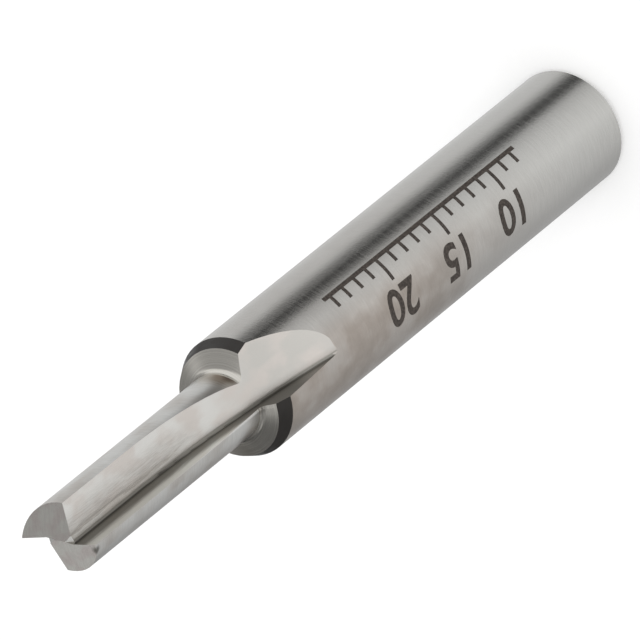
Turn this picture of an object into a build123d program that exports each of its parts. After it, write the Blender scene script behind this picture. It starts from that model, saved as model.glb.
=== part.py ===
from build123d import *
from math import acos, cos, degrees, hypot, radians, sin, tan
import os

# A two-flute straight router bit, ground all over from one bar of high speed steel.
# The frame has its origin at the centre of the shank's end face, +Z along the axis
# towards the cutting tip, and both cutting edges in the XZ plane. The bit cuts while
# it turns towards increasing azimuth. Sizes are in mm and degrees.

# Shank
SHANK_DIAMETER = 6.0
SHANK_LENGTH = 30.0          # end face to the start of the bevel
END_CHAMFER = 0.3            # 45 degrees, leads the shank into the collet

# Shoulder
BEVEL_LENGTH = 0.75          # along the axis
BEVEL_DEPTH = 0.35           # inwards from the shank's surface

# Cutter
CUTTING_DIAMETER = 4.0
CUTTING_LENGTH = 13.0
NECK_LENGTH = 1.25           # shoulder edge to the start of the cutting length
NECK_RADIUS = 0.35           # cove at the foot of the cutter, left by the land wheel
SHOULDER_SLOPE = 22.0        # rise of the shoulder's face from its edge to the cutter
LAND_RELIEF = 9.0            # clearance angle behind each cutting edge

# Flutes, each one pass of a grinding wheel whose rim leaves the floor
# and whose side leaves the rake face
RAKE_ANGLE = 5.0
WHEEL_ANGLE = 99.0           # between the wheel's rim and its side
WHEEL_RADIUS = 39.0
WEB_THICKNESS = 1.3          # between the two floors
ROOT_RADIUS = 0.12
STRAIGHT_FLUTE = 5.9         # from the tip to where the wheel starts to lift out

# End teeth
END_RELIEF = 14.0            # fall of each end face behind its lip
END_DISH = 2.5               # fall of each lip towards the axis
GASH_WIDTH = 0.32
GASH_SLOPE = 22.0            # fall of the gash floor, outwards from the axis
GASH_START = 0.28            # where the gash floor leaves the end face, from the axis

shank_radius = SHANK_DIAMETER / 2
shoulder_radius = shank_radius - BEVEL_DEPTH
cutter_radius = CUTTING_DIAMETER / 2
shoulder = SHANK_LENGTH + BEVEL_LENGTH
tip = shoulder + NECK_LENGTH + CUTTING_LENGTH
overcut = 2 * SHANK_DIAMETER     # how far each grinding pass is drawn clear of the bar


def direction(angle):
    """Unit vector across the axis at an azimuth in degrees."""
    return Vector(cos(radians(angle)), sin(radians(angle)))


def turned_blank():
    """Bar turned to the shank, the bevelled shoulder and a plain nose for the cutter."""
    with BuildPart() as blank:
        with BuildSketch(Plane.XZ):
            with BuildLine():
                Polyline(
                    (0, 0),
                    (shank_radius - END_CHAMFER, 0),
                    (shank_radius, END_CHAMFER),
                    (shank_radius, SHANK_LENGTH),
                    (shoulder_radius, shoulder),
                    (shoulder_radius, tip),
                    (0, tip),
                    close=True,
                )
            make_face()
        revolve(axis=Axis.Z)
    return blank.part


def land_pass():
    """What the land wheel clears behind the edge on +X, turning about a centre ahead of it."""
    lead = cutter_radius * tan(radians(LAND_RELIEF))
    land_radius = hypot(cutter_radius, lead)
    rise = tan(radians(SHOULDER_SLOPE))
    foot = shoulder + (shoulder_radius - land_radius) * rise
    turning_axis = Axis((0, lead, 0), (0, 0, 1))
    with BuildPart() as cleared:
        with BuildSketch(Plane(origin=(0, lead, 0), x_dir=(1, 0, 0), z_dir=(0, -1, 0))) as profile:
            with BuildLine():
                Polyline(
                    (land_radius, foot),
                    (land_radius + overcut, foot - overcut * rise),
                    (land_radius + overcut, tip + overcut),
                    (land_radius, tip + overcut),
                    close=True,
                )
            make_face()
            fillet(profile.vertices().sort_by_distance((land_radius, foot))[0], radius=NECK_RADIUS)
        revolve(axis=turning_axis)
        split(bisect_by=Plane.XZ, keep=Keep.TOP)
    return cleared.part


rake_direction = direction(RAKE_ANGLE)
floor_direction = direction(RAKE_ANGLE + WHEEL_ANGLE)
floor_normal = direction(RAKE_ANGLE + WHEEL_ANGLE - 90)
cutting_edge = Vector(cutter_radius, 0)
rake_depth = (cutting_edge.dot(floor_normal) - WEB_THICKNESS / 2) / rake_direction.dot(floor_normal)
gullet = cutting_edge - rake_direction * rake_depth


def flute_pass():
    """What the flute wheel clears ahead of the edge on +X, with its run-out in the shank."""
    lift_start = tip - STRAIGHT_FLUTE
    far_rake = gullet + rake_direction * overcut
    far_floor = gullet + floor_direction * overcut
    with BuildSketch(Plane.XY.offset(lift_start)) as profile:
        with BuildLine():
            Polyline(gullet, far_rake, far_rake + far_floor - gullet, far_floor, close=True)
        make_face()
        root = profile.vertices().sort_by_distance(Vector(gullet.X, gullet.Y, lift_start))[0]
        fillet(root, radius=ROOT_RADIUS)
    wheel_centre = floor_normal * (WEB_THICKNESS / 2 + WHEEL_RADIUS)
    wheel_axis = Axis((wheel_centre.X, wheel_centre.Y, lift_start), -floor_direction)
    clear_angle = degrees(acos(1 - shank_radius / WHEEL_RADIUS))
    run_out = revolve(profile.sketch, wheel_axis, revolution_arc=clear_angle)
    return extrude(profile.sketch, amount=STRAIGHT_FLUTE + overcut) + run_out


def end_pass():
    """What is ground off the end of the tooth on +X, behind its lip."""
    lip = Vector(-cos(radians(END_DISH)), 0, -sin(radians(END_DISH)))
    behind = Vector(0, -cos(radians(END_RELIEF)), -sin(radians(END_RELIEF)))
    end_plane = Plane(origin=(cutter_radius, 0, tip), x_dir=lip, z_dir=lip.cross(behind))
    half = Pos(0, 0, tip) * Box(
        overcut, overcut, overcut,
        align=(Align.CENTER, Align.MAX, Align.CENTER),
    )
    return split(half, bisect_by=end_plane, keep=Keep.TOP)


def centre_gash():
    """Notch ahead of the lip on +X, which carries that lip in from the gullet to the web."""
    outward = gullet.normalized()
    across = outward.rotate(Axis.Z, 90)
    down = outward * cos(radians(GASH_SLOPE)) - Vector(0, 0, sin(radians(GASH_SLOPE)))
    lip_height = tip - (cutter_radius - GASH_START) * tan(radians(END_DISH))
    start = outward * GASH_START + Vector(0, 0, lip_height)
    floor = Plane(origin=start, x_dir=down, z_dir=down.cross(across))
    length = (gullet.length - GASH_START) / cos(radians(GASH_SLOPE))
    return floor * Box(2 * length, GASH_WIDTH, overcut, align=(Align.CENTER, Align.MIN, Align.MIN))


def router_bit():
    """The finished bit, its second tooth and flute half a turn from the first."""
    bit = turned_blank()
    for turn in (0, 180):
        for ground in (land_pass(), flute_pass(), end_pass(), centre_gash()):
            bit -= Rot(0, 0, turn) * ground
    return bit


os.makedirs("parts", exist_ok=True)
export_step(router_bit(), "parts/router_bit.step")
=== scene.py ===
import bmesh
import bpy
from math import cos, hypot, pi, radians, sin
from mathutils import Matrix, Vector


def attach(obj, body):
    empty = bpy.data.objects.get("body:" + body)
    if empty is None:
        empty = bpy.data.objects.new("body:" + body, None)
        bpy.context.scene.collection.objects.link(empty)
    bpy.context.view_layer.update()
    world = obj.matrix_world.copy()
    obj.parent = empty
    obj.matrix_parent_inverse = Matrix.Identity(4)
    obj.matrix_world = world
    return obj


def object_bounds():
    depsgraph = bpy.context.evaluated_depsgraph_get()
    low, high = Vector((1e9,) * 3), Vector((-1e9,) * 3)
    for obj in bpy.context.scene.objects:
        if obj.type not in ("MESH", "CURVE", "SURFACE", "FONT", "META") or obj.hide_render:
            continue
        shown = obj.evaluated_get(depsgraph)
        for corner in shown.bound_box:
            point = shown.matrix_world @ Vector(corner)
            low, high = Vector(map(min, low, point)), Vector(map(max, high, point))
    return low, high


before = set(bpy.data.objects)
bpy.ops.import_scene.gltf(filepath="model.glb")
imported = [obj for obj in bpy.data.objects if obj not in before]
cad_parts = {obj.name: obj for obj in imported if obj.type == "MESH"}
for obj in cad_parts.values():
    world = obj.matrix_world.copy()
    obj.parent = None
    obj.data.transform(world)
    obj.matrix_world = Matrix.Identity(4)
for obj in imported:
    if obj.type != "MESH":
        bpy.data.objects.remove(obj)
cad_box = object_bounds()


# ---- Shank ------------------------------------------------------------------------------
# The bit is ground from one bar of hardened high speed steel. Its shank is finished between
# centres on a cylindrical grinder, which leaves short fine lines round it, and the heat of
# grinding the flutes has left a faint warm cloud on the end next to the cutter.

MM = 0.001
SHANK_RADIUS = 3.0 * MM
SHANK_LENGTH = 30.0 * MM                           # end face to the start of the bevel
SHANK_STEEL = (0.622, 0.617, 0.594)
SHANK_LINES = (0.9 * MM, 0.9 * MM, 0.07 * MM)
SHANK_RELIEF_GRAIN = (0.16 * MM, 0.16 * MM, 0.08 * MM)
SHANK_RELIEF = 0.005 * MM
WARM_STEEL = (0.50, 0.45, 0.405)
DULL_STEEL = (0.39, 0.345, 0.305)
CLOUD_SIDE = (-0.967, 0.256, 0.0)
CLOUD_FOOT, CLOUD_FULL = 4 * MM, 23 * MM           # heights where it starts and is strongest
CLOUD_EDGE, CLOUD_MIDDLE = 1.5 * MM, 2.9 * MM      # the same, from the axis towards its side
CLOUD_GRAIN = (1.9 * MM, 1.9 * MM, 2.6 * MM)
UP = (0, 0, 1)

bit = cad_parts["router_bit"]
bit.data.materials.clear()


def new_finish(name):
    """Add a finish to the bit, and give its slot's number, its node tree and its shader."""
    material = bpy.data.materials.new(name)
    material.use_nodes = True
    bit.data.materials.append(material)
    tree = material.node_tree
    return len(bit.data.materials) - 1, tree, tree.nodes["Principled BSDF"]


def on_the_part(tree):
    """Where a point lies on the part, in metres."""
    return tree.nodes.new("ShaderNodeTexCoord").outputs["Object"]


def fill_in(tree, sockets, values):
    """Give each socket its number or colour, or link it to what works it out."""
    for socket, value in zip(sockets, values):
        if isinstance(value, bpy.types.NodeSocket):
            tree.links.new(value, socket)
        else:
            socket.default_value = value


def work_out(tree, operation, *numbers):
    """One sum on numbers."""
    number_node = tree.nodes.new("ShaderNodeMath")
    number_node.operation = operation
    fill_in(tree, number_node.inputs, numbers)
    return number_node.outputs["Value"]


def vector_work(tree, operation, *vectors):
    """One sum on vectors, as a node with a Vector and a Value to take."""
    vector_node = tree.nodes.new("ShaderNodeVectorMath")
    vector_node.operation = operation
    fill_in(tree, vector_node.inputs, vectors)
    return vector_node


def along(tree, direction):
    """How far a point of the part lies along a direction, in metres."""
    return vector_work(tree, "DOT_PRODUCT", on_the_part(tree), direction).outputs["Value"]


def grain(tree, sizes, detail=2.0):
    """Noise from 0 to 1 whose grains have these sizes along X, Y and Z."""
    lay = tree.nodes.new("ShaderNodeMapping")
    lay.inputs["Scale"].default_value = [1.0 / size for size in sizes]
    noise = tree.nodes.new("ShaderNodeTexNoise")
    noise.inputs["Scale"].default_value = 1.0
    noise.inputs["Detail"].default_value = detail
    tree.links.new(on_the_part(tree), lay.inputs["Vector"])
    tree.links.new(lay.outputs["Vector"], noise.inputs["Vector"])
    return noise.outputs["Fac"]


def step(tree, value, start, end, low=0.0, high=1.0, way="SMOOTHSTEP"):
    """Change from low to high while the value goes from start to end."""
    change = tree.nodes.new("ShaderNodeMapRange")
    change.interpolation_type = way
    ends = [change.inputs[name] for name in ("Value", "From Min", "From Max", "To Min", "To Max")]
    fill_in(tree, ends, (value, start, end, low, high))
    return change.outputs["Result"]


def blend(tree, share, first, second, way="MIX"):
    """Colour that goes from first to second as the share goes from 0 to 1."""
    mix = tree.nodes.new("ShaderNodeMix")
    mix.data_type = "RGBA"
    mix.blend_type = way
    colours = [(*colour, 1.0) if isinstance(colour, tuple) else colour for colour in (first, second)]
    fill_in(tree, (mix.inputs[0], mix.inputs[6], mix.inputs[7]), (share, *colours))
    return mix.outputs[2]


def shaded(tree, steel, pattern, start, end, low, high):
    """Steel whose brightness goes from low to high while a pattern goes from start to end."""
    return blend(tree, 1.0, steel, step(tree, pattern, start, end, low, high), "MULTIPLY")


def bare_steel(tree, shader, colour, roughness):
    """Make the shader bare metal with this colour and roughness."""
    shader.inputs["Metallic"].default_value = 1.0
    fill_in(tree, (shader.inputs["Base Color"], shader.inputs["Roughness"]), (colour, roughness))


def relief(tree, shader, height, depth):
    """Let the light feel a pattern from 0 to 1 as a relief this deep."""
    bump = tree.nodes.new("ShaderNodeBump")
    bump.inputs["Distance"].default_value = depth
    tree.links.new(height, bump.inputs["Height"])
    tree.links.new(bump.outputs["Normal"], shader.inputs["Normal"])


shank_slot, tree, shader = new_finish("ground_shank")
near_cutter = step(tree, along(tree, UP), CLOUD_FOOT, CLOUD_FULL)
warm_side = step(tree, along(tree, CLOUD_SIDE), CLOUD_EDGE, CLOUD_MIDDLE, 0.2, 1.0)
patches = grain(tree, CLOUD_GRAIN, detail=3.0)
warmth = work_out(tree, "MULTIPLY", near_cutter, warm_side)
warmth = work_out(tree, "MULTIPLY", warmth, step(tree, patches, 0.25, 0.6, 0.55, 1.15))
tint = blend(tree, step(tree, patches, 0.35, 0.7), WARM_STEEL, DULL_STEEL)
steel = blend(tree, warmth, SHANK_STEEL, tint)
fine_lines = grain(tree, SHANK_LINES, detail=3.0)
steel = shaded(tree, steel, fine_lines, 0.2, 0.8, 0.95, 1.04)
bare_steel(tree, shader, steel, step(tree, fine_lines, 0.2, 0.8, 0.17, 0.27))
relief(tree, shader, grain(tree, SHANK_RELIEF_GRAIN, detail=3.0), SHANK_RELIEF)

# ---- Bevel ------------------------------------------------------------------------------
# The bevel at the top of the shank was turned before hardening and never ground, so it
# keeps the black skin of the furnace.

FURNACE_BLACK = (0.008, 0.007, 0.006)
FURNACE_BROWN = (0.017, 0.013, 0.010)
SKIN_SHINE = 0.45
SKIN_BLOTCHES = (0.5 * MM, 0.5 * MM, 0.3 * MM)
SKIN_RELIEF = 0.004 * MM

bevel_slot, tree, shader = new_finish("furnace_skin")
blotches = grain(tree, SKIN_BLOTCHES, detail=4.0)
tree.links.new(blend(tree, blotches, FURNACE_BLACK, FURNACE_BROWN), shader.inputs["Base Color"])
tree.links.new(step(tree, blotches, 0.3, 0.7, 0.30, 0.48), shader.inputs["Roughness"])
shader.inputs["Specular IOR Level"].default_value = SKIN_SHINE
relief(tree, shader, blotches, SKIN_RELIEF)

# ---- Shoulder and neck ------------------------------------------------------------------
# The side of the land wheel leaves the shoulder's shallow cone and its corner leaves the
# cove, so both carry fine rings that the wheel scored round the neck. Two places on them
# are painted dark as shade and dark reflection: a broad one on the cone, and a small one
# in the cove beside a flute.

SHOULDER_STEEL = (0.62, 0.60, 0.555)
SHOULDER_ROUGHNESS = 0.24
RING_PITCH = 0.06 * MM
RING_RELIEF = 0.002 * MM
# painted shade and dark reflection: place, reach and colour of each darkened patch
CONE_SHADE = ((-0.1 * MM, 2.5 * MM, 30.75 * MM), 1.7 * MM, (0.10, 0.093, 0.08))
COVE_SHADE = ((-2.0 * MM, -0.05 * MM, 31.15 * MM), 0.35 * MM, (0.30, 0.28, 0.25))


# Serves both the real stains and the painted shade.
def stain(tree, steel, unevenness, place, reach, colour):
    """Colour the steel round a place, out to about this reach, with an uneven edge."""
    away = vector_work(tree, "DISTANCE", on_the_part(tree), place).outputs["Value"]
    away = work_out(tree, "ADD", away, work_out(tree, "MULTIPLY", unevenness, 0.3 * reach))
    share = step(tree, away, 0.35 * reach, 1.15 * reach, 0.85, 0.0)
    return blend(tree, share, steel, colour)


shoulder_slot, tree, shader = new_finish("shoulder_rings")
flattened = vector_work(tree, "MULTIPLY", on_the_part(tree), (1, 1, 0)).outputs["Vector"]
from_axis = vector_work(tree, "LENGTH", flattened).outputs["Value"]
rings = tree.nodes.new("ShaderNodeTexNoise")
rings.noise_dimensions = "1D"
rings.inputs["Scale"].default_value = 1.0
rings.inputs["Detail"].default_value = 2.0
tree.links.new(work_out(tree, "MULTIPLY", from_axis, 1.0 / RING_PITCH), rings.inputs["W"])
steel = shaded(tree, SHOULDER_STEEL, rings.outputs["Fac"], 0.3, 0.7, 0.93, 1.04)
# paint the shade and dark reflection on the cone and in the cove
for mark in (CONE_SHADE, COVE_SHADE):
    steel = stain(tree, steel, rings.outputs["Fac"], *mark)
bare_steel(tree, shader, steel, SHOULDER_ROUGHNESS)
relief(tree, shader, rings.outputs["Fac"], RING_RELIEF)

# ---- Lands ------------------------------------------------------------------------------
# Behind each cutting edge the land is ground away about a centre of its own, so that it
# clears the wood. One tooth is darker at its cutting corner, and the other is scorched
# where its land meets the neck.

LAND_CENTRE = 0.3168 * MM                          # from the bit's axis
LAND_RADIUS = 2.025 * MM
LAND_STEEL = (0.75, 0.75, 0.73)
LAND_ROUGHNESS = 0.34
LAND_PATCHES = (1.2 * MM, 1.2 * MM, 2.4 * MM)
LAND_LINES = (0.7 * MM, 0.7 * MM, 0.06 * MM)
LAND_RELIEF = 0.002 * MM
# a darker patch at one tooth's cutting corner: its place, reach and colour
CORNER_DARK = ((-1.93 * MM, 0.33 * MM, 44.88 * MM), 0.32 * MM, (0.10, 0.092, 0.078))
SCORCH = ((-0.45 * MM, -1.66 * MM, 31.35 * MM), 1.10 * MM, (0.25, 0.195, 0.15))
SCORCH_CORE = ((-0.75 * MM, -1.57 * MM, 31.2 * MM), 0.60 * MM, (0.11, 0.085, 0.065))

land_slot, tree, shader = new_finish("ground_land")
patches = grain(tree, LAND_PATCHES)
fine_lines = grain(tree, LAND_LINES)
steel = blend(tree, step(tree, patches, 0.35, 0.7, 0.0, 0.6), LAND_STEEL, WARM_STEEL)
steel = shaded(tree, steel, fine_lines, 0.2, 0.8, 0.94, 1.06)
for mark in (CORNER_DARK, SCORCH, SCORCH_CORE):
    steel = stain(tree, steel, fine_lines, *mark)
bare_steel(tree, shader, steel, LAND_ROUGHNESS)
relief(tree, shader, fine_lines, LAND_RELIEF)

# ---- Flute floors -----------------------------------------------------------------------
# The rim of the flute wheel leaves the floor of each flute, scored lengthwise. It is painted
# darker towards the gullet as shade, and is worn in streaks near the tip.

FLOOR_ANGLE = radians(14.0)                        # azimuth that one floor faces
FLOOR_STEEL = (0.79, 0.78, 0.75)
NECK_END_STEEL = (0.655, 0.635, 0.60)
BLUSH_STEEL = (0.72, 0.675, 0.635)
PINK_STEEL = (0.36, 0.335, 0.305)
# painted shade for the gullet, on the floors and the rake faces
GULLET_SHADE = (0.25, 0.24, 0.213)
FLOOR_ROUGHNESS = 0.26
FLOOR_SCORES = (0.055 * MM, 0.055 * MM, 0.8 * MM)
FLOOR_PATCHES = (0.8 * MM, 0.8 * MM, 2.5 * MM)
FLOOR_BLUSH = (1.1 * MM, 1.1 * MM, 1.8 * MM)
FLOOR_RELIEF = 0.004 * MM
WORN_FOOT, WORN_FULL = 33 * MM, 38.5 * MM          # heights
CLEAN_FOOT, CLEAN_FULL = 29.5 * MM, 34 * MM
WEAR_START, WEAR_END = -0.3 * MM, 1.7 * MM         # across the floor, past the bit's axis
# across the floor past the axis, where the painted shade towards the gullet fades
SOFT_SHADE_START, SOFT_SHADE_END = -0.15 * MM, 0.2 * MM
DEEP_SHADE_START, DEEP_SHADE_END = -0.22 * MM, -0.06 * MM
WEAR_WANDER = 0.5 * MM
FLOOR_WEAR = (                                     # share of the way across, how worn
    (0.10, 0.4), (0.15, 0.35), (0.22, 0.95), (0.32, 0.6), (0.48, 0.4), (0.65, 0.15), (0.8, 0.0),
)

out_of_floor = Vector((cos(FLOOR_ANGLE), sin(FLOOR_ANGLE), 0))
across_floor = Vector((-sin(FLOOR_ANGLE), cos(FLOOR_ANGLE), 0))

floor_slot, tree, shader = new_finish("flute_floor")
side = work_out(tree, "SIGN", along(tree, out_of_floor))
past_axis = work_out(tree, "MULTIPLY", along(tree, across_floor), side)
scores = grain(tree, FLOOR_SCORES, detail=3.0)
patches = grain(tree, FLOOR_PATCHES, detail=3.0)
wander = work_out(tree, "MULTIPLY", work_out(tree, "SUBTRACT", patches, 0.5), WEAR_WANDER)
place_across = work_out(tree, "ADD", past_axis, wander)
wear = tree.nodes.new("ShaderNodeValToRGB")
tree.links.new(step(tree, place_across, WEAR_START, WEAR_END, way="LINEAR"), wear.inputs["Fac"])
stops = wear.color_ramp.elements
stops[0].position, stops[0].color = 0.0, (1, 1, 1, 1)
stops[1].position, stops[1].color = 1.0, (0, 0, 0, 1)
for place, share in FLOOR_WEAR:
    stops.new(place).color = (share, share, share, 1)
near_tip = step(tree, along(tree, UP), WORN_FOOT, WORN_FULL, 0.05, 1.0)
worn = work_out(tree, "MULTIPLY", wear.outputs["Color"], near_tip)
past_neck = step(tree, along(tree, UP), CLEAN_FOOT, CLEAN_FULL)
clean = blend(tree, past_neck, NECK_END_STEEL, FLOOR_STEEL)
clean = blend(tree, step(tree, grain(tree, FLOOR_BLUSH), 0.4, 0.65), clean, BLUSH_STEEL)
# painted shade: the floor darkens towards the gullet
clean = blend(tree, step(tree, past_axis, SOFT_SHADE_START, SOFT_SHADE_END, 0.4, 0.0), clean, PINK_STEEL)
steel = blend(tree, worn, clean, PINK_STEEL)
scored = work_out(tree, "MULTIPLY", worn, step(tree, scores, 0.35, 0.65, -0.15, 0.15))
steel = blend(tree, 1.0, steel, work_out(tree, "ADD", scored, 1.0), "MULTIPLY")
# painted shade, darkest in the gullet
gullet_shade_share = step(tree, past_axis, DEEP_SHADE_START, DEEP_SHADE_END, 1.0, 0.0)
bare_steel(tree, shader, blend(tree, gullet_shade_share, steel, GULLET_SHADE), FLOOR_ROUGHNESS)
relief(tree, shader, scores, FLOOR_RELIEF)

# ---- Rake faces -------------------------------------------------------------------------
# The side of the flute wheel leaves the rake face, which the chips run up. Its lower part
# and the neck are painted shade, darkest at the root, and towards its edge it is painted
# brighter than the steel as a highlight.

HALF_WEB = 0.65 * MM
WHEEL_RADIUS = 39 * MM
LIFT_START = 39.1 * MM                             # height where the wheel starts to lift out
# painted highlight: steel brighter than the bit's own, for the rake towards its edge
RAKE_STEEL = (0.91, 0.915, 0.875)
# painted shade at the root, in the neck and in the run-out
ROOT_SHADE = (0.19, 0.18, 0.16)
NECK_SHADE = (0.14, 0.133, 0.118)
RUN_OUT_SHADE = (0.30, 0.29, 0.265)
RAKE_ROUGHNESS = 0.28
RAKE_SCORES = (0.06 * MM, 0.06 * MM, 1.2 * MM)
RAKE_RELIEF = 0.003 * MM
BRIGHT_START, BRIGHT_END = 0.64 * MM, 1.12 * MM    # up the face from its root
ROOT_START, ROOT_END = 0.05 * MM, 0.18 * MM
RAGGEDNESS = 0.25 * MM
BRIGHT_FOOT, BRIGHT_FULL = 31.0 * MM, 32.8 * MM    # heights
NECK_FOOT, NECK_FULL = 27.4 * MM, 29.2 * MM
GULLET_FOOT, GULLET_FULL = 30.5 * MM, 34 * MM
ROOT_FOOT, ROOT_FULL = 35 * MM, 37 * MM

rake_slot, tree, shader = new_finish("rake_face")
height = along(tree, UP)
run = work_out(tree, "MAXIMUM", work_out(tree, "SUBTRACT", LIFT_START, height), 0.0)
lift = work_out(tree, "MULTIPLY", work_out(tree, "MULTIPLY", run, run), 0.5 / WHEEL_RADIUS)
above_web = work_out(tree, "SUBTRACT", work_out(tree, "ABSOLUTE", along(tree, out_of_floor)), HALF_WEB)
up_rake = work_out(tree, "SUBTRACT", above_web, lift)
scores = grain(tree, RAKE_SCORES, detail=3.0)
ragged = work_out(tree, "ADD", up_rake, work_out(tree, "MULTIPLY", scores, RAGGEDNESS))
# where the painted highlight lies, up the face and above the neck
bright = step(tree, ragged, BRIGHT_START, BRIGHT_END)
bright = work_out(tree, "MULTIPLY", bright, step(tree, height, BRIGHT_FOOT, BRIGHT_FULL))
# painted shade, by height, and darkest at the root
dark = blend(tree, step(tree, height, NECK_FOOT, NECK_FULL), RUN_OUT_SHADE, NECK_SHADE)
dark = blend(tree, step(tree, height, GULLET_FOOT, GULLET_FULL), dark, GULLET_SHADE)
near_root = step(tree, up_rake, ROOT_START, ROOT_END, 1.0, 0.0)
root_shade_share = work_out(tree, "MULTIPLY", step(tree, height, ROOT_FOOT, ROOT_FULL), near_root)
dark = blend(tree, root_shade_share, dark, ROOT_SHADE)
bare_steel(tree, shader, blend(tree, bright, dark, RAKE_STEEL), RAKE_ROUGHNESS)
relief(tree, shader, scores, RAKE_RELIEF)

# ---- End teeth --------------------------------------------------------------------------
# Each end face is ground with relief behind its lip, across the bit, and a thin wheel
# gashes the centre, where it leaves small faces, painted brighter than the steel round
# them as a highlight.

END_STEEL = (0.61, 0.60, 0.565)
END_BLUSH = (0.575, 0.535, 0.51)
END_ROUGHNESS = 0.25
END_STROKES = (0.07 * MM, 0.5 * MM, 0.5 * MM)
END_BLOTCHES = (0.7 * MM, 0.7 * MM, 0.7 * MM)
END_RELIEF = 0.001 * MM
# painted highlight: the gash faces' steel is brighter than the steel round them
GASH_STEEL = (0.92, 0.91, 0.88)
GASH_ROUGHNESS = 0.3
GASH_STROKES = (0.05 * MM, 0.05 * MM, 0.05 * MM)

end_slot, tree, shader = new_finish("end_faces")
strokes = grain(tree, END_STROKES, detail=3.0)
blotches = grain(tree, END_BLOTCHES)
steel = blend(tree, step(tree, blotches, 0.4, 0.65), END_STEEL, END_BLUSH)
steel = shaded(tree, steel, strokes, 0.3, 0.7, 0.95, 1.03)
bare_steel(tree, shader, stain(tree, steel, strokes, *CORNER_DARK), END_ROUGHNESS)
relief(tree, shader, strokes, END_RELIEF)

gash_slot, tree, shader = new_finish("gash_faces")
steel = shaded(tree, GASH_STEEL, grain(tree, GASH_STROKES), 0.3, 0.7, 0.9, 1.05)
bare_steel(tree, shader, steel, GASH_ROUGHNESS)

# ---- Where each finish lies -------------------------------------------------------------
# The bit is one piece of steel, so its finishes meet at the edges that the wheels left,
# with no joint between them. Each facet's finish follows from where it lies and how it
# faces. The second tooth and flute are the first turned half a turn.

CONE_FOOT, COVE_TOP = 30.3 * MM, 31.5 * MM         # heights that the shoulder lies between
CHAMFER_CLEAR = 2 * MM                             # height past the shank's end chamfer
END_DEPTH = 0.6 * MM                               # of the end faces and gashes, below the tip
BEVEL_INSIDE = 2.6 * MM                            # radius that the bevel stays outside
SHANK_INSIDE = 2.96 * MM                           # radius that the shank's facets stay outside
LAND_SPREAD = 0.02 * MM                            # of the lands' facets about their radius
BEVEL_RISE, RISE_SPREAD = 0.423, 0.05              # upward part of a facet's normal
END_RISE = 0.96
GASH_RISE = 0.2
SHOULDER_RISE = 0.02
LAND_RISE = 0.05
LAND_TURN = 0.12                                   # of a land facet's normal off its radius
FLOOR_TURN = 0.03                                  # of a floor facet's normal across the floor

tip = cad_box[1][2]


def finish_for(face):
    """Number of the finish that a facet of the bit takes."""
    x, y, z = face.center
    rise = face.normal.z
    from_axis = hypot(x, y)
    land_y = y + LAND_CENTRE if y > 0 else y - LAND_CENTRE
    from_land = hypot(x, land_y)
    turn = abs(x * face.normal.y - land_y * face.normal.x) / from_land
    round_tooth = z > CONE_FOOT and turn < LAND_TURN
    if z > SHANK_LENGTH and abs(rise - BEVEL_RISE) < RISE_SPREAD and from_axis > BEVEL_INSIDE:
        return bevel_slot
    if z > tip - END_DEPTH and rise > END_RISE:
        return end_slot
    if z > tip - END_DEPTH and rise > GASH_RISE:
        return gash_slot
    if round_tooth and z < COVE_TOP and rise > SHOULDER_RISE and from_land > LAND_RADIUS - LAND_SPREAD:
        return shoulder_slot
    if round_tooth and abs(rise) < LAND_RISE and abs(from_land - LAND_RADIUS) < LAND_SPREAD:
        return land_slot
    if z < CHAMFER_CLEAR or from_axis > SHANK_INSIDE:
        return shank_slot
    if abs(face.normal.dot(across_floor)) < FLOOR_TURN:
        return floor_slot
    return rake_slot


for face in bit.data.polygons:
    face.material_index = finish_for(face)

# ---- Depth scale ------------------------------------------------------------------------
# A scale is burnt into the shank with a laser, in millimetres from the shank's end, so that
# the bit can be set to a depth in its collet: a line with ticks, and plain numbers.

SCALE_AZIMUTH = radians(231.2)                     # of the scale's line, round the shank
SCALE_FROM, SCALE_TO = 8, 24                       # its first and last tick
SCALE_PAST = 0.5 * MM                              # line past them
LONG_EVERY = 5
NUMBERED = (10, 15, 20)
STROKE = 0.22 * MM
TICK = 0.60 * MM
LONG_TICK = 1.2 * MM
DIGIT_HEIGHT = 1.75 * MM
DIGIT_SHARE = 0.70                                 # of a letter's size that its height takes
DIGIT_WEIGHT = 0.05 * MM
DIGIT_GAP = 0.35 * MM
DIGIT_STRIPS = 12                                  # that let a digit bend round the shank
CURVE_STEPS = 6                                    # along each curve of a digit
LINE_RUNS, TICK_RUNS = 40, 8
PROUD = 0.004 * MM
BURNT = (0.032, 0.025, 0.020)
BURNT_THIN = (0.075, 0.060, 0.050)
BURNT_ROUGHNESS = 0.6
BURNT_SHINE = 0.3
BURNT_GRAIN = (0.12 * MM, 0.12 * MM, 0.12 * MM)

scale_verts, scale_faces = [], []


def on_shank(z, up):
    """Point on the shank at a height, and this far round it from the scale's line."""
    azimuth = SCALE_AZIMUTH - up / SHANK_RADIUS
    reach = SHANK_RADIUS + PROUD
    return (reach * cos(azimuth), reach * sin(azimuth), z)


def burn_stroke(z0, z1, up0, up1, runs):
    """Burn a bar between two heights and two places round the shank, in runs along it."""
    first = len(scale_verts)
    lengthwise = z1 - z0 > up1 - up0
    for i in range(runs + 1):
        z = z0 + (z1 - z0) * (i / runs)
        up = up0 + (up1 - up0) * (i / runs)
        ends = ((z, up0), (z, up1)) if lengthwise else ((z0, up), (z1, up))
        scale_verts.extend(on_shank(*end) for end in ends)
    for i in range(runs):
        a = first + 2 * i
        scale_faces.append((a, a + 1, a + 3, a + 2))


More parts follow.
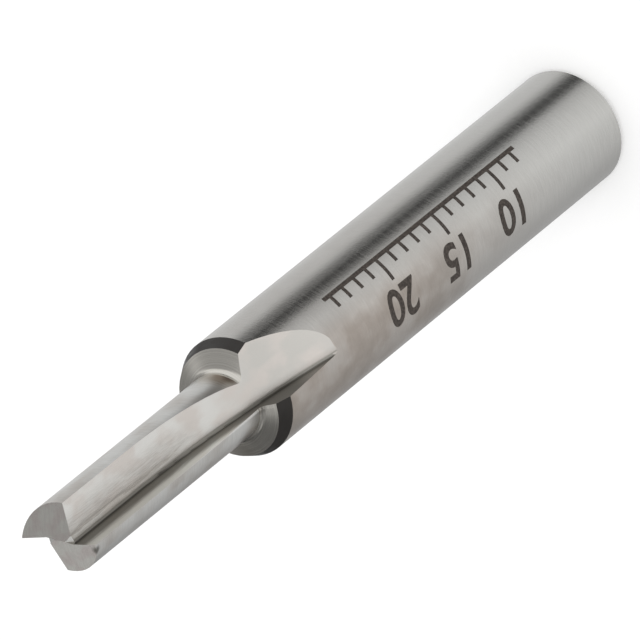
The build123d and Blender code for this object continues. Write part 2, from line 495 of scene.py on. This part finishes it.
def flat_number(number):
    """Flat mesh of a number's digits, cut into level strips."""
    letters = bpy.data.curves.new("number", "FONT")
    letters.body = str(number)
    letters.size = DIGIT_HEIGHT / DIGIT_SHARE
    letters.offset = DIGIT_WEIGHT
    letters.align_x = "CENTER"
    letters.resolution_u = CURVE_STEPS
    writing = bpy.data.objects.new("number", letters)
    digits = bpy.data.meshes.new_from_object(writing)
    bpy.data.objects.remove(writing)
    bpy.data.curves.remove(letters)
    cutting = bmesh.new()
    cutting.from_mesh(digits)
    for cut in range(1, DIGIT_STRIPS):
        bmesh.ops.bisect_plane(
            cutting, geom=cutting.verts[:] + cutting.edges[:] + cutting.faces[:],
            plane_co=(0, cut * DIGIT_HEIGHT / DIGIT_STRIPS, 0), plane_no=(0, 1, 0))
    cutting.to_mesh(digits)
    cutting.free()
    return digits


def burn_number(number):
    """Burn a number beside its long tick, its digits in a row along the shank."""
    first = len(scale_verts)
    digits = flat_number(number)
    for vert in digits.vertices:
        scale_verts.append(on_shank(number * MM + vert.co.x, LONG_TICK + DIGIT_GAP + vert.co.y))
    for face in digits.polygons:
        scale_faces.append(tuple(first + v for v in face.vertices))
    bpy.data.meshes.remove(digits)


def new_object(name, data):
    """Object made of this data, in the scene."""
    thing = bpy.data.objects.new(name, data)
    bpy.context.scene.collection.objects.link(thing)
    return thing


burn_stroke(SCALE_FROM * MM - SCALE_PAST, SCALE_TO * MM + SCALE_PAST, -STROKE, 0, LINE_RUNS)
for mark in range(SCALE_FROM, SCALE_TO + 1):
    length = LONG_TICK if mark % LONG_EVERY == 0 else TICK
    burn_stroke(mark * MM - STROKE / 2, mark * MM + STROKE / 2, 0, length, TICK_RUNS)
for number in NUMBERED:
    burn_number(number)

scale_mesh = bpy.data.meshes.new("depth_scale")
scale_mesh.from_pydata(scale_verts, [], scale_faces)
scale = new_object("depth_scale", scale_mesh)

burn = bpy.data.materials.new("laser_burn")
burn.use_nodes = True
tree = burn.node_tree
shader = tree.nodes["Principled BSDF"]
uneven = step(tree, grain(tree, BURNT_GRAIN, detail=3.0), 0.35, 0.75)
tree.links.new(blend(tree, uneven, BURNT, BURNT_THIN), shader.inputs["Base Color"])
shader.inputs["Roughness"].default_value = BURNT_ROUGHNESS
shader.inputs["Specular IOR Level"].default_value = BURNT_SHINE
scale_mesh.materials.append(burn)
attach(scale, "root")

# ---- Camera -----------------------------------------------------------------------------
# A long lens looks down at the bit from the side of the cutting edge on -X, turned so that
# the cutter points down to the left.

CAMERA_AIM = Vector((0.0093 * MM, -0.3964 * MM, 22.629 * MM))
CAMERA_DISTANCE = 481.9 * MM
CAMERA_AZIMUTH = radians(-144.802)
CAMERA_ELEVATION = radians(47.587)
CAMERA_ROLL = radians(-129.073)
LENS, SENSOR_WIDTH = 588.4, 36.0                   # in millimetres, as the camera takes them
NEAREST_SEEN = 50 * MM


def heading_to(azimuth, elevation):
    """Unit vector that points this way round and this far up."""
    return Vector((cos(elevation) * cos(azimuth), cos(elevation) * sin(azimuth), sin(elevation)))


towards_camera = heading_to(CAMERA_AZIMUTH, CAMERA_ELEVATION)
facing_back = towards_camera.to_track_quat("Z", "Y").to_matrix()
camera = new_object("camera", bpy.data.cameras.new("camera"))
camera.data.sensor_width = SENSOR_WIDTH
camera.data.lens = LENS
camera.data.clip_start = NEAREST_SEEN
turned = (facing_back @ Matrix.Rotation(CAMERA_ROLL, 3, "Z")).to_4x4()
camera.matrix_world = Matrix.Translation(CAMERA_AIM + CAMERA_DISTANCE * towards_camera) @ turned
bpy.context.scene.camera = camera

# ---- Studio -----------------------------------------------------------------------------
# The bit stands on its shank on a plain white table, in soft white light from all round.
# A tent of white and grey cloth, which only the steel reflects, gives it its stripes.

WHITE = (1, 1, 1, 1)
TABLE_REACH = 1.5
TABLE_GLOW = 0.10
TENT_RADIUS = 0.7
TENT_ROUND, TENT_RISE = 48, 24                     # facets round it and up it
TENT_START = 35.2                                  # azimuth opposite the camera
TENT_BELOW = (                                     # degrees clockwise from there, tone
    (0, 0.55), (20, 0.76), (40, 0.71), (60, 0.71), (80, 0.72), (92, 0.52), (104, 0.16), (116, 0.04),
    (125, 0.14), (137, 0.58), (160, 0.75), (180, 0.82), (200, 0.88), (220, 0.79), (240, 0.72),
    (260, 0.66), (280, 0.57), (300, 0.49), (320, 0.47), (345, 0.46),
)
TENT_ABOVE = (1.0, 1.0, 1.0)
BELOW_TOP, ABOVE_FOOT = -0.35, -0.1                # sines of the elevations between the two
TENT_PANELS = (                                    # azimuth, elevation, reach, tone
    (-8, -4, 27, 0.38),
    (-25, 54, 30, 0.40),
    (14, 16, 26, 0.28),
    (82, 38, 30, 0.14),
    (77, 3, 24, 0.10),
    (80, -20, 27, 0.18),
    (104, -3, 25, 0.22),
    (135, 10, 26, 0.28),
    (118, -19, 20, 0.30),
    (124, 34, 22, 0.28),
    (172, 22, 22, 0.30),
    (150, 62, 28, 0.45),
    (3, 62, 16, 0.41),
    (46, 23, 17, 0.58),
)
PANEL_CORE = 0.5                                   # share of its reach that has its full tone
LAMP_SIZE = 0.3
LAMP_DISTANCE = 0.6
LAMP_POWER = 0.7
ROOM_LIGHT = 0.9


def background_rays(tree):
    """1 for the rays that show the background: seen, mirrored or through glass."""
    ray = tree.nodes.new("ShaderNodeLightPath")
    shown = work_out(tree, "MAXIMUM", ray.outputs["Is Camera Ray"], ray.outputs["Is Glossy Ray"])
    return work_out(tree, "MAXIMUM", shown, ray.outputs["Is Transmission Ray"])


table_mesh = bpy.data.meshes.new("table")
table_mesh.from_pydata(
    [(-TABLE_REACH, -TABLE_REACH, 0), (TABLE_REACH, -TABLE_REACH, 0),
     (TABLE_REACH, TABLE_REACH, 0), (-TABLE_REACH, TABLE_REACH, 0)], [], [(0, 1, 2, 3)])
table = new_object("table", table_mesh)
table.visible_glossy = False
paper = bpy.data.materials.new("white_paper")
paper.use_nodes = True
tree = paper.node_tree
shader = tree.nodes["Principled BSDF"]
shader.inputs["Base Color"].default_value = WHITE
shader.inputs["Roughness"].default_value = 1.0
shader.inputs["Specular IOR Level"].default_value = 0.0
shader.inputs["Emission Color"].default_value = WHITE
glow = step(tree, background_rays(tree), 0.0, 1.0, 0.0, TABLE_GLOW)
tree.links.new(glow, shader.inputs["Emission Strength"])
table_mesh.materials.append(paper)

tent_verts, tent_faces = [], []
for j in range(TENT_RISE + 1):
    for i in range(TENT_ROUND):
        heading = heading_to(2 * pi * i / TENT_ROUND, pi * (j / TENT_RISE - 0.5))
        tent_verts.append(TENT_RADIUS * heading)
for j in range(TENT_RISE):
    low, high = j * TENT_ROUND, (j + 1) * TENT_ROUND
    for i in range(TENT_ROUND):
        k = (i + 1) % TENT_ROUND
        tent_faces.append((low + i, low + k, high + k, high + i))
tent_mesh = bpy.data.meshes.new("tent")
tent_mesh.from_pydata(tent_verts, [], tent_faces)
tent = new_object("tent", tent_mesh)
for ray in ("camera", "diffuse", "transmission", "volume_scatter", "shadow"):
    setattr(tent, "visible_" + ray, False)

cloth = bpy.data.materials.new("tent_cloth")
cloth.use_nodes = True
tree = cloth.node_tree
tree.nodes.remove(tree.nodes["Principled BSDF"])
heading = vector_work(tree, "NORMALIZE", on_the_part(tree)).outputs["Vector"]
round_about = tree.nodes.new("ShaderNodeTexGradient")
round_about.gradient_type = "RADIAL"
tree.links.new(heading, round_about.inputs["Vector"])
below = tree.nodes.new("ShaderNodeValToRGB")
tree.links.new(round_about.outputs["Fac"], below.inputs["Fac"])
tones = sorted((((TENT_START - angle) / 360 + 0.5) % 1.0, tone) for angle, tone in TENT_BELOW)
(first_place, first_tone), (last_place, last_tone) = tones[0], tones[-1]
seam = last_tone + (first_tone - last_tone) * (1 - last_place) / (first_place + 1 - last_place)
stops = below.color_ramp.elements
stops[0].position, stops[0].color = 0.0, (seam, seam, seam, 1)
stops[1].position, stops[1].color = 1.0, (seam, seam, seam, 1)
for place, tone in tones:
    stops.new(place).color = (tone, tone, tone, 1)
parts = tree.nodes.new("ShaderNodeSeparateXYZ")
tree.links.new(heading, parts.inputs[0])
upper = step(tree, parts.outputs["Z"], BELOW_TOP, ABOVE_FOOT)
colour = blend(tree, upper, below.outputs["Color"], TENT_ABOVE)
for azimuth, elevation, reach, tone in TENT_PANELS:
    centre = heading_to(radians(azimuth), radians(elevation))
    facing = vector_work(tree, "DOT_PRODUCT", heading, centre).outputs["Value"]
    panel = step(tree, facing, cos(radians(reach)), cos(radians(reach * PANEL_CORE)))
    colour = blend(tree, panel, colour, (tone, tone, tone))
glow = tree.nodes.new("ShaderNodeEmission")
tree.links.new(colour, glow.inputs["Color"])
tree.links.new(glow.outputs["Emission"], tree.nodes["Material Output"].inputs["Surface"])
tent_mesh.materials.append(cloth)

lamp = new_object("lamp", bpy.data.lights.new("lamp", "AREA"))
lamp.data.shape = "DISK"
lamp.data.size = LAMP_SIZE
lamp.data.energy = LAMP_POWER
lamp.visible_glossy = False
above_bit = CAMERA_AIM + LAMP_DISTANCE * towards_camera
lamp.matrix_world = Matrix.Translation(above_bit) @ facing_back.to_4x4()

world = bpy.data.worlds.new("studio")
bpy.context.scene.world = world
world.use_nodes = True
tree = world.node_tree
tree.nodes["Background"].inputs["Color"].default_value = WHITE
light = step(tree, background_rays(tree), 0.0, 1.0, ROOM_LIGHT, 1.0)
tree.links.new(light, tree.nodes["Background"].inputs["Strength"])
bpy.context.scene.view_settings.view_transform = "Standard"
